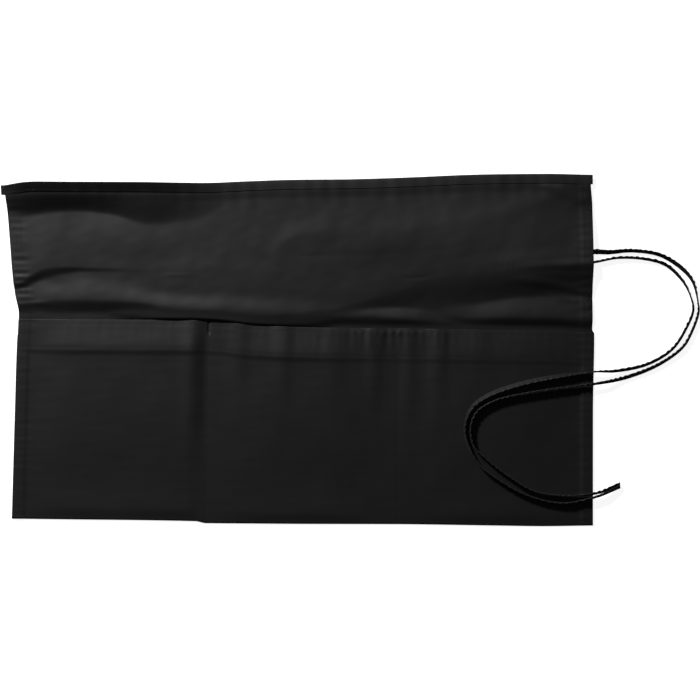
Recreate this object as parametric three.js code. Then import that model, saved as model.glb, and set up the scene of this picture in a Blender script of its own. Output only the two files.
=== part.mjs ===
import * as THREE from "three";

// A waist apron with three pockets, lying face up with its two ties drawn out under its right side.
// Millimetres: +X to the apron's right as seen from above, +Y to its waistband, +Z up. The origin is on
// the surface that it lies on, under the middle of the sewn pieces.

// Driving sizes
const WIDTH = 610; // side to side, where it is widest
const DEPTH = 369; // from the bottom fold to the top edge
const POCKET_DEPTH = 205; // from the bottom fold to the pocket mouths
const CLOTH_WALL = 1.2;
const HEM_WALL = 2; // where the cloth is turned over twice
const SIDE_HEM = 9;
const MOUTH_HEM = 15;
const HEM_STEP = 2; // the width in which a hem reaches its full thickness
const BOTTOM_FOLD = 2.4; // how far the bottom fold reaches past the back's lower edge
const BAND_HEIGHT = 10;
const BAND_WALL = 0.9;
const BAND_END = 9.4; // how far the waistband's left end stands out past the apron's side
const POCKET_ROOM = 6; // how far a pocket's front stands off its back
const FOLD_HEIGHT = 9; // the highest fold of the cloth above the pockets
const TIE_WIDTH = 6.2;
const TIE_WALL = 1.6;
const GAP = 0.3; // between pieces that are sewn together
const TIE_ROOM = 0.6; // between a tie and the cloth over or under it
const TIE_SHELF = 4; // how far the cloth over a hidden tie stays level past its edges
const TIE_SLOPE = 26; // and the width in which it comes down again
const EDGE_SHELF = 18; // how far a tie that leaves the pockets stays at their height
const EDGE_SLOPE = 24; // and the width in which it comes down again
const CELL = 14; // the faces' width
const BIB_ROWS = 22;
const POCKET_ROWS = 11;
const BACK_ROWS = 2;
const TIE_STEPS = 80;

// The sides: how far each lies in from the apron's widest places, in shares of WIDTH, at heights in shares
// of DEPTH
const SIDES = [
  { up: 0, left: 0, right: 0.0022 },
  { up: 0.32, left: 0.0055, right: 0.0021 },
  { up: 0.537, left: 0.0098, right: 0 },
  { up: 0.549, left: 0.0107, right: 0 },
  { up: 0.556, left: 0.0109, right: 0.0031 },
  { up: 0.605, left: 0.012, right: 0.0031 },
  { up: 0.665, left: 0.0055, right: 0.0031 },
  { up: 0.73, left: 0.0012, right: 0.0031 },
  { up: 0.824, left: -0.0034, right: 0.0031 },
  { up: 0.909, left: -0.0076, right: 0.0035 },
  { up: 0.965, left: -0.0103, right: 0.0062 },
];

// The bottom fold's rise and the top edge's drop, in shares of DEPTH, and the mouths' height over the bottom
// fold, in shares of POCKET_DEPTH, at places in shares of WIDTH
const LINES = [
  { across: 0, bottom: 0.0213, mouth: 1.02, top: 0.0344 },
  { across: 0.057, bottom: 0.0201, mouth: 1.021, top: 0.0262 },
  { across: 0.316, bottom: 0.0142, mouth: 1.028, top: 0.0266 },
  { across: 0.334, bottom: 0.0085, mouth: 1.035, top: 0.0264 },
  { across: 0.414, bottom: 0.0075, mouth: 1.014, top: 0.0208 },
  { across: 0.495, bottom: 0.0065, mouth: 1.006, top: 0.0164 },
  { across: 0.581, bottom: 0.0061, mouth: 1.002, top: 0.0151 },
  { across: 0.663, bottom: 0.0057, mouth: 1, top: 0.0113 },
  { across: 0.825, bottom: 0.002, mouth: 1, top: 0.0014 },
  { across: 0.916, bottom: 0, mouth: 1, top: 0 },
  { across: 1, bottom: 0.002, mouth: 0.985, top: 0.0028 },
];

// The folds of the cloth above the pockets. A crest runs across through the rows, up in shares of the height
// from the mouths to the waistband, high in shares of FOLD_HEIGHT. above and below are how far its two
// slopes run, in shares of that height.
const FOLDS = {
  leftCorner: [
    { across: -0.015, up: 1, high: 0.1, above: 0.3, below: 0.2 },
    { across: 0.012, up: 1, high: 0.5, above: 0.3, below: 0.2 },
    { across: 0.04, up: 1, high: 1, above: 0.3, below: 0.24 },
    { across: 0.1, up: 1, high: 0.8, above: 0.3, below: 0.2 },
    { across: 0.18, up: 1, high: 0.5, above: 0.3, below: 0.14 },
    { across: 0.26, up: 1, high: 0.25, above: 0.3, below: 0.1 },
    { across: 0.34, up: 1, high: 0, above: 0.3, below: 0.1 },
  ],
  leftSwell: [
    { across: -0.04, up: 0.68, high: 0.2, above: 0.24, below: 0.12 },
    { across: 0.06, up: 0.66, high: 0.28, above: 0.24, below: 0.12 },
    { across: 0.14, up: 0.65, high: 0.2, above: 0.24, below: 0.12 },
    { across: 0.24, up: 0.64, high: 0, above: 0.24, below: 0.12 },
  ],
  leftShoulder: [
    { across: -0.02, up: 0.3, high: 0.2, above: 0.3, below: 0.07 },
    { across: 0.027, up: 0.34, high: 0.42, above: 0.3, below: 0.07 },
    { across: 0.062, up: 0.43, high: 0.52, above: 0.3, below: 0.08 },
    { across: 0.117, up: 0.41, high: 0.44, above: 0.3, below: 0.09 },
    { across: 0.18, up: 0.39, high: 0.25, above: 0.3, below: 0.12 },
    { across: 0.26, up: 0.38, high: 0, above: 0.3, below: 0.12 },
  ],
  leftRoll: [
    { across: -0.01, up: 0.14, high: 0.3, above: 0.13, below: 0.11 },
    { across: 0.05, up: 0.15, high: 0.52, above: 0.13, below: 0.12 },
    { across: 0.1, up: 0.15, high: 0.55, above: 0.13, below: 0.12 },
    { across: 0.2, up: 0.14, high: 0.45, above: 0.13, below: 0.11 },
    { across: 0.25, up: 0.13, high: 0.2, above: 0.13, below: 0.1 },
    { across: 0.3, up: 0.12, high: 0, above: 0.13, below: 0.1 },
  ],
  middleRoll: [
    { across: 0.16, up: 0.115, high: 0, above: 0.15, below: 0.08 },
    { across: 0.22, up: 0.1, high: 0.38, above: 0.15, below: 0.07 },
    { across: 0.27, up: 0.09, high: 0.52, above: 0.16, below: 0.07 },
    { across: 0.375, up: 0.08, high: 0.52, above: 0.16, below: 0.06 },
    { across: 0.48, up: 0.075, high: 0.45, above: 0.16, below: 0.06 },
    { across: 0.56, up: 0.08, high: 0.3, above: 0.14, below: 0.06 },
    { across: 0.62, up: 0.095, high: 0.42, above: 0.12, below: 0.08 },
    { across: 0.67, up: 0.08, high: 0.36, above: 0.12, below: 0.07 },
    { across: 0.69, up: 0.06, high: 0, above: 0.12, below: 0.05 },
  ],
  rightRidge: [
    { across: 0.42, up: 0.29, high: 0, above: 0.25, below: 0.18 },
    { across: 0.5, up: 0.3, high: 0.2, above: 0.28, below: 0.2 },
    { across: 0.6, up: 0.31, high: 0.32, above: 0.32, below: 0.22 },
    { across: 0.72, up: 0.33, high: 0.42, above: 0.36, below: 0.25 },
    { across: 0.8, up: 0.35, high: 0.54, above: 0.4, below: 0.25 },
    { across: 0.87, up: 0.38, high: 0.66, above: 0.4, below: 0.27 },
    { across: 0.93, up: 0.405, high: 0.78, above: 0.4, below: 0.29 },
    { across: 1.02, up: 0.44, high: 0.74, above: 0.4, below: 0.31 },
  ],
  rightRoll: [
    { across: 0.74, up: 0.12, high: 0, above: 0.12, below: 0.05 },
    { across: 0.8, up: 0.142, high: 0.42, above: 0.14, below: 0.05 },
    { across: 0.88, up: 0.166, high: 0.55, above: 0.15, below: 0.07 },
    { across: 0.96, up: 0.145, high: 0.45, above: 0.14, below: 0.05 },
    { across: 1.01, up: 0.135, high: 0.25, above: 0.14, below: 0.05 },
  ],
  rightCorner: [
    { across: 0.83, up: 0.9, high: 0, above: 0.2, below: 0.09 },
    { across: 0.9, up: 0.94, high: 0.3, above: 0.2, below: 0.1 },
    { across: 0.95, up: 0.97, high: 0.36, above: 0.2, below: 0.1 },
    { across: 1.01, up: 1, high: 0.25, above: 0.2, below: 0.1 },
  ],
};

// The seams between and beside the pockets, in shares of WIDTH, and how far each side takes to rise to the
// pocket's full room
const SEAMS = [
  { across: 0.0155, leftRun: 0.05, rightRun: 0.06 },
  { across: 0.332, leftRun: 0.025, rightRun: 0.06 },
  { across: 0.663, leftRun: 0.035, rightRun: 0.035 },
  { across: 0.9845, leftRun: 0.06, rightRun: 0.05 },
];

// The slack of a pocket's front, in shares of POCKET_ROOM, at heights in shares of the pocket's depth
const SLACK = [
  { up: 0, room: 0 },
  { up: 0.08, room: 0.34 },
  { up: 0.15, room: 0.28 },
  { up: 0.5, room: 0.74 },
  { up: 0.83, room: 1 },
  { up: 1, room: 0.88 },
];

// Upright ripples in the pockets' fronts: place and width in shares of WIDTH, height in shares of POCKET_ROOM
const RIPPLES = [
  { across: 0.3, width: 0.026, high: 0.14 },
  { across: 0.383, width: 0.03, high: 0.14 },
  { across: 0.459, width: 0.03, high: 0.14 },
  { across: 0.608, width: 0.028, high: 0.16 },
  { across: 0.718, width: 0.028, high: 0.16 },
];
const RIPPLE_START = 0.35; // of the pocket's depth

// The bottom fold's round nose: out in shares of BOTTOM_FOLD from the fold's edge, the outer and the inner
// face in shares of the folded thickness
const NOSE = [
  { out: 0, face: 0.66, under: 0.34 },
  { out: 0.35, face: 0.94, under: 0.06 },
  { out: 1, face: 1, under: 0 },
];

// The ties' routes: points x, y and the tape's roll in degrees, 0 where it lies flat and 90 on its edge. Both
// start under the waistband's ends, pass under the cloth and out at the right side, turn round and come to
// lie on the right pocket.
const LEFT_TIE = [
  [-303, 169, 0],
  [-296, 153, 0],
  [-288, 132, 0],
  [-277, 111, 0],
  [-260, 92, 0],
  [-234, 81, 0],
  [-187, 77, 0],
  [-114, 76, 0],
  [-40, 74, 0],
  [33, 71, 0],
  [75, 71, 0],
  [127, 75, 0],
  [190, 81, 15],
  [253, 86, 60],
  [285, 89.5, 85],
  [309.5, 92, 90],
  [333.5, 96.5, 90],
  [362, 95.5, 85],
  [384, 89.5, 85],
  [400.5, 74.5, 85],
  [410, 57, 75],
  [413, 41.5, 90],
  [406, 23.5, 85],
  [391, 1, 80],
  [365.5, -14.5, 80],
  [334.5, -21.5, 80],
  [310.5, -22.5, 65],
  [267, -28, 90],
  [231, -35.5, 90],
  [197.5, -47.5, 90],
  [180.5, -60.5, 90],
  [173.5, -80.5, 90],
  [176.5, -97, 90],
  [189, -119.5, 90],
  [208.5, -135, 90],
  [239, -151.5, 90],
  [274, -159.5, 90],
  [309.5, -153.5, 90],
  [336.5, -142.8, 90],
];
const RIGHT_TIE = [
  [303.5, 177, 0],
  [291, 166, 0],
  [274, 154, 0],
  [243, 140, 0],
  [201, 128, 0],
  [148, 120, 0],
  [80, 114, 0],
  [14, 112, 0],
  [-6, 107, 0],
  [-12, 98.5, 0],
  [-4, 89, 0],
  [18, 85, 0],
  [106, 88, 0],
  [200, 95, 0],
  [279, 101, 5],
  [309, 103, 35],
  [326, 102.5, 50],
  [349, 104, 75],
  [377, 100, 80],
  [397, 89, 65],
  [412, 73, 65],
  [418, 50, 80],
  [418.5, 39, 90],
  [411, 18, 90],
  [402, 3, 85],
  [377, -15, 75],
  [343, -28.5, 60],
  [311, -35, 75],
  [281, -38.5, 90],
  [239, -44.5, 90],
  [204, -53, 90],
  [185.5, -65, 90],
  [179.5, -81.5, 90],
  [183, -100, 90],
  [195, -112.5, 90],
  [218, -130.5, 90],
  [246, -147, 90],
  [274, -151.5, 90],
  [310, -149.5, 90],
  [336.5, -140.2, 90],
];

const { clamp, degToRad, lerp } = THREE.MathUtils;
const soft = (share) => THREE.MathUtils.smoothstep(share, 0, 1);

// The value of a table's column at a place, on a smooth line through its rows that never overshoots them
function read(rows, by, column, at) {
  const last = rows.length - 1;
  if (at <= rows[0][by]) return rows[0][column];
  if (at >= rows[last][by]) return rows[last][column];
  const slope = (i) => (rows[i + 1][column] - rows[i][column]) / (rows[i + 1][by] - rows[i][by]);
  const lean = (i) => {
    if (i === 0) return slope(0);
    if (i === last) return slope(last - 1);
    const product = slope(i - 1) * slope(i);
    return product > 0 ? (2 * product) / (slope(i - 1) + slope(i)) : 0;
  };
  const i = rows.findIndex((row) => row[by] > at) - 1;
  const run = rows[i + 1][by] - rows[i][by];
  const t = (at - rows[i][by]) / run;
  const straight = lerp(rows[i][column], rows[i + 1][column], t);
  const start = (lean(i) - slope(i)) * run;
  const end = (lean(i + 1) - slope(i)) * run;
  return straight + t * (1 - t) * ((1 - t) * start - t * end);
}

// The outline: across is the share of the way from the left side to the right side
const bottomY = (across) => (read(LINES, "across", "bottom", across) - 0.5) * DEPTH;
const mouthY = (across) => bottomY(across) + read(LINES, "across", "mouth", across) * POCKET_DEPTH;
const topY = (across) => (0.5 - read(LINES, "across", "top", across)) * DEPTH;
const bandY = (across) => topY(across) - BAND_HEIGHT;

function sides(y) {
  const up = y / DEPTH + 0.5;
  return {
    left: BAND_END / 2 - WIDTH / 2 + read(SIDES, "up", "left", up) * WIDTH,
    right: BAND_END / 2 + WIDTH / 2 - read(SIDES, "up", "right", up) * WIDTH,
  };
}

function acrossAt(x, y) {
  const { left, right } = sides(y);
  return (x - left) / (right - left);
}

function xAt(across, y) {
  const { left, right } = sides(y);
  return lerp(left, right, across);
}

// The cloth's thickness, more in the hems at the sides
function wall(across) {
  const fromSide = Math.min(across, 1 - across) * WIDTH;
  return lerp(HEM_WALL, CLOTH_WALL, soft((fromSide - SIDE_HEM) / HEM_STEP));
}

// How high a tie reaches at a roll, and how far it reaches to each side
const tieHeight = (roll) => TIE_WIDTH * Math.sin(roll) + TIE_WALL * Math.cos(roll);
const tieReach = (roll) => (TIE_WIDTH * Math.cos(roll) + TIE_WALL * Math.sin(roll)) / 2;

// A tape's middle line: its plan is a smooth curve through the route's points, and its height that of what
// it lies on
class TapeCurve extends THREE.Curve {
  constructor(route) {
    super();
    this.arcLengthDivisions = 600;
    this.plan = new THREE.CatmullRomCurve3(route.map(([x, y, roll]) => new THREE.Vector3(x, y, roll)));
  }

  rollAt(t) {
    return degToRad(clamp(this.plan.getPoint(t).z, 0, 90));
  }

  getPoint(t, target = new THREE.Vector3()) {
    const { x, y } = this.plan.getPoint(t);
    return target.set(x, y, ground(x, y) + tieHeight(this.rollAt(t)) / 2);
  }

  computeFrenetFrames(steps) {
    const frames = { tangents: [], normals: [], binormals: [] };
    for (let i = 0; i <= steps; i++) {
      const roll = this.rollAt(this.getUtoTmapping(i / steps));
      const tangent = this.getTangentAt(i / steps);
      const level = new THREE.Vector3(-tangent.y, tangent.x, 0).normalize();
      const up = new THREE.Vector3().crossVectors(tangent, level);
      const normal = level.multiplyScalar(Math.cos(roll)).addScaledVector(up, Math.sin(roll));
      frames.tangents.push(tangent);
      frames.normals.push(normal);
      frames.binormals.push(new THREE.Vector3().crossVectors(tangent, normal));
    }
    return frames;
  }
}

// The height that a tie lies on at a place: the pockets' fronts, a slope past their side, or the surface
function ground(x, y) {
  const inside = acrossAt(x, y);
  const across = clamp(inside, 0, 1);
  if (y > mouthY(across)) return 0;
  const past = x - sides(y).right;
  return (frontTop(across, y) + TIE_ROOM) * (1 - soft((past - EDGE_SHELF) / EDGE_SLOPE));
}

// The places where the ties lie hidden, with the height and reach that the cloth over them has to clear
function hiddenTies() {
  const places = [];
  for (const route of [LEFT_TIE, RIGHT_TIE]) {
    const { plan } = new TapeCurve(route);
    const count = route.length * 10;
    for (let i = 0; i <= count; i++) {
      const { x, y, z } = plan.getPoint(i / count);
      const roll = degToRad(clamp(z, 0, 90));
      const hidden = y > mouthY(clamp(acrossAt(x, y), 0, 1)) && x < WIDTH / 2 + TIE_SLOPE;
      if (hidden) places.push({ x, y, high: tieHeight(roll) + TIE_ROOM, reach: tieReach(roll) + TIE_SHELF });
    }
  }
  return places;
}

const HIDDEN = hiddenTies();

function tieLift(x, y) {
  let lift = 0;
  for (const place of HIDDEN) {
    const past = Math.hypot(x - place.x, y - place.y) - place.reach;
    if (past < TIE_SLOPE) lift = Math.max(lift, place.high * (1 - soft(past / TIE_SLOPE)));
  }
  return lift;
}

// One fold's height at a place, up in shares of the height from the mouths to the waistband
function foldHeight(rows, across, up) {
  const value = (column) => read(rows, "across", column, across);
  const past = across < rows[0].across || across > rows[rows.length - 1].across;
  if (past) return 0;
  const off = up - value("up");
  const run = off > 0 ? value("above") : value("below");
  return value("high") * FOLD_HEIGHT * soft(1 - Math.abs(off) / run);
}

// The height of the cloth's underside: flat behind the pockets, over them its folds, the ties under it and
// the waistband's back
function clothUnder(across, y) {
  const mouth = mouthY(across);
  if (y <= mouth) return 0;
  const held = Math.min(y, bandY(across));
  const up = (held - mouth) / (bandY(across) - mouth);
  let cubes = tieLift(xAt(across, y), held) ** 3;
  for (const rows of Object.values(FOLDS)) cubes += foldHeight(rows, across, up) ** 3;
  const overBand = soft((y - bandY(across) + BAND_HEIGHT) / BAND_HEIGHT) * (BAND_WALL + GAP);
  const nearMouth = soft((y - mouth) / MOUTH_HEM + 0.35);
  return overBand + Math.cbrt(cubes) * nearMouth;
}

// How far a pocket's front stands off its back
function pocketRoom(across, up) {
  const next = SEAMS.findIndex((seam) => seam.across > across);
  if (next < 1) return 0;
  const fromLeft = (across - SEAMS[next - 1].across) / SEAMS[next - 1].rightRun;
  const fromRight = (SEAMS[next].across - across) / SEAMS[next].leftRun;
  let room = read(SLACK, "up", "room", up);
  for (const ripple of RIPPLES) {
    const rise = soft(1 - Math.abs(across - ripple.across) / ripple.width);
    room += ripple.high * rise * soft((up - RIPPLE_START) / (1 - RIPPLE_START));
  }
  return POCKET_ROOM * room * soft(fromLeft) * soft(fromRight);
}

// The front's inner and outer face, measured from the surface
function frontUnder(across, y) {
  const up = (y - bottomY(across)) / (mouthY(across) - bottomY(across));
  return wall(across) + GAP + pocketRoom(across, up);
}

function frontTop(across, y) {
  const fromMouth = mouthY(across) - y;
  const hemmed = lerp(HEM_WALL, CLOTH_WALL, soft((fromMouth - MOUTH_HEM) / HEM_STEP));
  return frontUnder(across, y) + Math.max(wall(across), hemmed);
}

// Stations from 0 to 1 that pass through the given ones, no further apart than a step
function spread(fixed, step) {
  const stations = [fixed[0]];
  for (let i = 1; i < fixed.length; i++) {
    const count = Math.ceil((fixed[i] - fixed[i - 1]) / step - 1e-6);
    for (let k = 1; k <= count; k++) stations.push(lerp(fixed[i - 1], fixed[i], k / count));
  }
  return stations;
}

function columns() {
  const hem = SIDE_HEM / WIDTH;
  const step = HEM_STEP / WIDTH;
  const seams = SEAMS.slice(1, -1).map((seam) => seam.across);
  return spread([0, hem, hem + step, ...seams, 1 - hem - step, 1 - hem, 1], CELL / WIDTH);
}

const COLUMNS = columns();

// A closed body from rings of equal length: loops of one section after another, with both ends closed
function loft(rings) {
  const count = rings[0].length;
  const geometry = new THREE.BufferGeometry().setFromPoints(rings.flat());
  const faces = [];
  for (let r = 0; r + 1 < rings.length; r++) {
    for (let k = 0; k < count; k++) {
      const a = r * count + k;
      const b = r * count + ((k + 1) % count);
      faces.push(a, b, b + count, a, b + count, a + count);
    }
  }
  const flat = rings[0].map(({ y, z }) => new THREE.Vector2(y, z));
  const end = (rings.length - 1) * count;
  for (const [a, b, c] of THREE.ShapeUtils.triangulateShape(flat, [])) {
    faces.push(a, c, b, a + end, b + end, c + end);
  }
  geometry.setIndex(faces);
  geometry.computeVertexNormals();
  return geometry;
}

// A closed sheet from two grids of points, rows from front to back and columns from left to right
function sheet(face, under) {
  const rows = face.length;
  const width = face[0].length;
  const geometry = new THREE.BufferGeometry().setFromPoints([...face.flat(), ...under.flat()]);
  const faces = [];
  const quad = (a, b, c, d) => faces.push(a, b, c, a, c, d);
  const other = rows * width;
  for (let r = 0; r + 1 < rows; r++) {
    for (let k = 0; k + 1 < width; k++) {
      const a = r * width + k;
      quad(a, a + 1, a + 1 + width, a + width);
      quad(a + other, a + other + width, a + other + 1 + width, a + other + 1);
    }
    const left = r * width;
    const right = left + width - 1;
    quad(left, left + width, left + width + other, left + other);
    quad(right, right + other, right + width + other, right + width);
  }
  for (let k = 0; k + 1 < width; k++) {
    const back = (rows - 1) * width + k;
    quad(k, k + other, k + 1 + other, k + 1);
    quad(back, back + 1, back + 1 + other, back + other);
  }
  geometry.setIndex(faces);
  geometry.computeVertexNormals();
  return geometry;
}

const point = (across, y, z) => new THREE.Vector3(xAt(across, y), y, z);

// The back of the pockets and the cloth above them, one piece up into the waistband
function bodyPanel() {
  const places = [];
  for (let r = 0; r < BACK_ROWS; r++) {
    places.push((across) => lerp(bottomY(across) + BOTTOM_FOLD + GAP, mouthY(across), r / BACK_ROWS));
  }
  for (let r = 0; r <= BIB_ROWS; r++) {
    const even = r / BIB_ROWS;
    const up = even - (0.5 * Math.sin(2 * Math.PI * even)) / (2 * Math.PI);
    places.push((across) => lerp(mouthY(across), bandY(across), up));
  }
  places.push((across) => topY(across) - BAND_WALL - GAP);
  const grid = (height) => places.map((place) => COLUMNS.map((s) => point(s, place(s), height(s, place(s)))));
  return sheet(
    grid((across, y) => clothUnder(across, y) + wall(across)),
    grid(clothUnder),
  );
}

// The turned-up front of the three pockets, from the nose of the bottom fold to the hemmed mouths
function pocketPanel() {
  const face = [];
  const under = [];
  const folded = (across) => frontTop(across, bottomY(across) + BOTTOM_FOLD);
  for (const { out, face: outer, under: inner } of NOSE) {
    const y = (across) => bottomY(across) + out * BOTTOM_FOLD;
    face.push(COLUMNS.map((across) => point(across, y(across), outer * folded(across))));
    under.push(COLUMNS.map((across) => point(across, y(across), inner * folded(across))));
  }
  const hem = MOUTH_HEM / POCKET_DEPTH;
  const hemStart = 1 - hem - HEM_STEP / POCKET_DEPTH;
  for (const share of spread([0, SLACK[1].up, SLACK[2].up, hemStart, 1 - hem, 1], 1 / POCKET_ROWS)) {
    const y = (across) => lerp(bottomY(across) + BOTTOM_FOLD, mouthY(across), share);
    const inward = share === 0 ? GAP : 0;
    const outer = (across) => frontTop(across, y(across) + inward);
    face.push(COLUMNS.map((across) => point(across, y(across) + inward, outer(across))));
    under.push(COLUMNS.map((across) => point(across, y(across), frontUnder(across, y(across)))));
  }
  return sheet(face, under);
}

// The tape folded over the top edge, a channel that is open towards the pockets
function waistband() {
  const leftEnd = -BAND_END / WIDTH - SIDES[0].left;
  const rightEnd = 1 + SIDES[SIDES.length - 1].right / 2;
  const stations = [leftEnd, ...COLUMNS.slice(0, -1), rightEnd];
  const rings = stations.map((across) => {
    const inside = clamp(across, 0, 1);
    const top = topY(inside);
    const low = bandY(inside);
    const x = across < 0 ? BAND_END / 2 - WIDTH / 2 + across * WIDTH : xAt(across, low);
    const cloth = clothUnder(inside, top);
    const back = cloth - GAP - BAND_WALL;
    const front = cloth + wall(inside) + GAP + BAND_WALL;
    const round = (front - back) / 4;
    const section = [
      [low, back],
      [top - round, back],
      [top, back + round],
      [top, front - round],
      [top - round, front],
      [low, front],
      [low, front - BAND_WALL],
      [top - BAND_WALL, front - BAND_WALL],
      [top - BAND_WALL, back + BAND_WALL],
      [low, back + BAND_WALL],
    ];
    return section.map(([y, z]) => new THREE.Vector3(x, y, z));
  });
  return loft(rings);
}

function tie(route) {
  const half = TIE_WIDTH / 2;
  const thin = TIE_WALL / 2;
  const corner = TIE_WALL / 4;
  const outline = [
    [half - corner, -thin],
    [half, corner - thin],
    [half, thin - corner],
    [half - corner, thin],
    [corner - half, thin],
    [-half, thin - corner],
    [-half, corner - thin],
    [corner - half, -thin],
  ];
  const section = new THREE.Shape(outline.map(([x, y]) => new THREE.Vector2(x, y)));
  const settings = { steps: TIE_STEPS, extrudePath: new TapeCurve(route), bevelEnabled: false };
  return new THREE.ExtrudeGeometry(section, settings);
}

const TWILL = { color: 0x1f1f22, roughness: 0.92, metalness: 0 };
const TAPE = { color: 0x262629, roughness: 0.88, metalness: 0 };

function piece(name, geometry, finish) {
  const mesh = new THREE.Mesh(geometry, new THREE.MeshStandardMaterial(finish));
  mesh.name = name;
  return mesh;
}

const apron = new THREE.Group();
apron.add(piece("body_panel", bodyPanel(), TWILL));
apron.add(piece("pocket_panel", pocketPanel(), TWILL));
apron.add(piece("waistband", waistband(), TAPE));
apron.add(piece("tie_left", tie(LEFT_TIE), TAPE));
apron.add(piece("tie_right", tie(RIGHT_TIE), TAPE));

export default apron;
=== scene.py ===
"""How a waist apron looks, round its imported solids: black twill with hems, folds and stitches, a waistband
of folded tape and two tape ties. Lengths are in millimetres, in the solids' own frame, until a mesh is
made."""

import math

import bpy
import numpy as np
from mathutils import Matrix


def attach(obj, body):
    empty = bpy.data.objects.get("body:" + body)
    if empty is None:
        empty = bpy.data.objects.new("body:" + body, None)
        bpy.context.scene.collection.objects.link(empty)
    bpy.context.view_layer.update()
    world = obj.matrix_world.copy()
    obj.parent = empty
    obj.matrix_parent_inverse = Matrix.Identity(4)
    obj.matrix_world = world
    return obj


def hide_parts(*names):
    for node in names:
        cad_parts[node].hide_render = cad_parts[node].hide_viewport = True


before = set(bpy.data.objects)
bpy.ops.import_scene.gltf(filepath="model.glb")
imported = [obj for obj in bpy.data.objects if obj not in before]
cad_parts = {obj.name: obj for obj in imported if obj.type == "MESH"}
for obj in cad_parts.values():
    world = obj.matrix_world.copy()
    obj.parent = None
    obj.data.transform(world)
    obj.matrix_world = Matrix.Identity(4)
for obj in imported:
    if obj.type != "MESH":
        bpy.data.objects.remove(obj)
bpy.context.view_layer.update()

MM = 0.001

# The photograph's frame
PIXELS = 700
PIXEL_MM = 1.0481
VIEW_CENTRE = (54.0, 0.1)
LENS_MM = 80
SENSOR_MM = 36

# Sizes
WIDTH = 610
DEPTH = 369
POCKET_DEPTH = 205
CLOTH = 0.8
HEM = 1.2  # the cloth's thickness where it is turned over
SIDE_HEM = 9
MOUTH_HEM = 31
HEM_STEP = 6  # how far a hem's step down to the single cloth reaches
BOTTOM_FOLD = 2.4
BAND_HEIGHT = 10
BAND_WALL = 0.4
BAND_END = 9.4  # how far the waistband runs past the cloth's left side
TIE_WIDTH = 6.2
TIE_WALL = 1.6
MOST_ROLL = 130  # the furthest that a tie's tape leans, in degrees from lying flat
FOLD_HEIGHT = 9  # the folds' tables are in shares of this height
POCKET_ROOM = 2.6  # the pockets' tables are in shares of this height
MOUTH_ROLL = 10  # how far above the pockets' mouths the folds reach their full height

# Room between pieces, and how far the cloth and the ties stay level before they slope down
GAP = 0.3
LAYER_GAP = 0.15
TIE_ROOM = 0.3  # between a hidden tie and the cloth over it
TIE_FLOAT = 1.6  # between the pockets' front and a tie on it
TIE_SHELF = 4  # past a hidden tie
TIE_SLOPE = 26
EDGE_SHELF = 6  # past the apron's right side
EDGE_SLOPE = 26

# Edges: how far they are rounded, and how thin they end, in shares of the thickness
EDGE_ROUND = 0.4
EDGE_LEAST = 0.12
FOLD_LEAST = 0.05

# The waistband's rounded top, and its lower edge
BAND_ROUND = 1.8
BAND_EDGE = 0.1
BAND_DIP = 0.05

# Stitching: where the rows run, in from an edge, and the thread
SIDE_ROW = 7.8
MOUTH_ROWS = (4.6, 29.4)
BAND_ROW = 1.7
ROW_END = 1
MOUTH_ROW_END = 0.8
STITCH = 2.5
STITCH_PITCH = 3.3
STITCH_SHAPE = ((-1, 0.2), (-0.8, 0.75), (0, 1), (0.8, 0.75), (1, 0.2))  # shares of half length, thickness
STITCH_SIDES = 6
THREAD = 0.32
THREAD_RISE = 0.2  # how far a thread's middle is over the cloth, in shares of its thickness
GROOVE = 0.08
SEAM_GROOVE = 0.05
GROOVE_REACH = 1.1
LEAST_BACK = 0.9  # the lowest height that the stitches draw the back of the pockets' front to

# The ties' tape: the powers that square its outline, its sewn seam, its puckers and its uneven width
TIE_SIDES = 18
TIE_SQUARE = 0.35
TIE_FLAT = 0.6
TIE_SEAM = 0.55  # in shares of half the width
TIE_SEAM_REACH = 0.16
TIE_SEAM_DEEP = 0.22  # in shares of half the thickness
TIE_SEAM_OUT = 0.78
TIE_THREAD = 0.8  # in shares of THREAD
TIE_ROW_ENDS = 4  # points of the route at each end that have no stitches
TIE_PUCKER = 0.42
TIE_PUCKER_SPACING = 6
TIE_WAVER = 0.12
TIE_WAVER_SPACING = 7.5

# Mesh steps
COLUMN_STEP = 2.1
BIB_STEP = 1.4
FRONT_STEP = 1.9
TIE_STEP = 1.1
BACK_STEP = 0.09  # in shares of the pockets' depth
BAND_END_STEP = 0.003  # in shares of WIDTH
HIDDEN_POINTS = 10  # for each span of a route
TIE_POINTS = 24
ROW_POINTS = 400
EDGE_STEPS = (0, 0.1, 0.3, 0.6)
TOP_STEPS = (0.4, 0.15, 0)
ROW_STEPS = (-GROOVE_REACH, 0, GROOVE_REACH)
SEAM_STEPS = (-2, -1, 0, 1, 2)
HEM_SHARES = (0.25, 0.6, 1)
BAND_SHARES = (0.25, 0.5, 0.75)
BAND_BACK = (0.3, 0.6)
BAND_FRONT = (0.6, 0.35)
BAND_TURNS = (-90, 90, 9)
FOLD_TURNS = (0, 18, 36, 54, 72, 90)
TINY = 1e-6

# The cloth's finish
WAVE_SCALE = 0.444  # a wave texture's scale times the spacing of its bands in metres
CLOUD_SHARE = 0.55
FUZZ_SHARE = 0.35
RAMP = (0.32, 0.68)
BUMP = 0.6
BUMP_MM = 0.05
SHEEN_ROUGH = 0.45

# The studio in metres: the floor's radius and height from its middle outwards
SWEEP = ((0.5, 0), (2, 0), (3.2, 0), (3.55, 0.03), (3.8, 0.12), (3.95, 0.28), (4, 0.45), (4, 0.7))
SWEEP_SIDES = 96
FLOOR_DROP = 0.0003
FLOOR_GLOW = 0.9
WORLD_GLOW = 0.03


def table(names, *rows):
    """A table's columns as arrays, by name."""
    return dict(zip(names.split(), np.array(rows, float).T))


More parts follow.
